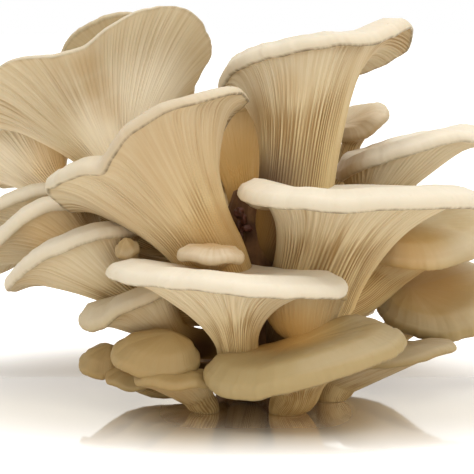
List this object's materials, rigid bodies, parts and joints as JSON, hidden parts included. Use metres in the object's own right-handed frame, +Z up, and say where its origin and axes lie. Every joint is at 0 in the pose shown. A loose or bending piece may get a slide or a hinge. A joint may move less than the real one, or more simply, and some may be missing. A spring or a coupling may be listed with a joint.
{
  "type": "oyster mushroom cluster",
  "caption": "Cluster of oyster mushrooms: overlapping funnel and shelf caps with gills that run down their leaning stems, grown from one shared base with a flat cut face.",
  "frame": {"origin": "middle of the flat cut face under the shared base", "axes": "+Z up from the cut face, -Y towards the front of the cluster, +X to its right"},
  "size_m": [0.2278, 0.1568, 0.1546],
  "materials": {
    "mushroom_flesh": "matte",
    "base_flesh": "matte"
  },
  "bodies": {
    "root": {"cluster_base": "base_flesh", "shelf_front": "mushroom_flesh", "shelf_right": "mushroom_flesh", "shelf_low": "mushroom_flesh", "shelf_small": "mushroom_flesh", "trumpet_left": "mushroom_flesh", "trumpet_right": "mushroom_flesh", "crown_left": "mushroom_flesh", "crown_low": "mushroom_flesh", "fan_left_low": "mushroom_flesh", "fan_left_mid": "mushroom_flesh", "fan_left_high": "mushroom_flesh", "shell_left": "mushroom_flesh", "button_left": "mushroom_flesh", "button_far_left": "mushroom_flesh", "button_low_left": "mushroom_flesh", "foot_left": "mushroom_flesh", "bud_left": "mushroom_flesh", "trumpet_behind": "mushroom_flesh", "crown_behind": "mushroom_flesh", "petal_right": "mushroom_flesh", "fan_right_high": "mushroom_flesh", "fan_right_mid": "mushroom_flesh", "fan_right_low": "mushroom_flesh", "foot_right": "mushroom_flesh", "shell_middle": "mushroom_flesh", "back_low": "mushroom_flesh", "back_left": "mushroom_flesh", "back_right": "mushroom_flesh", "back_high": "mushroom_flesh", "back_low_left": "mushroom_flesh"}
  },
  "joints": []
}
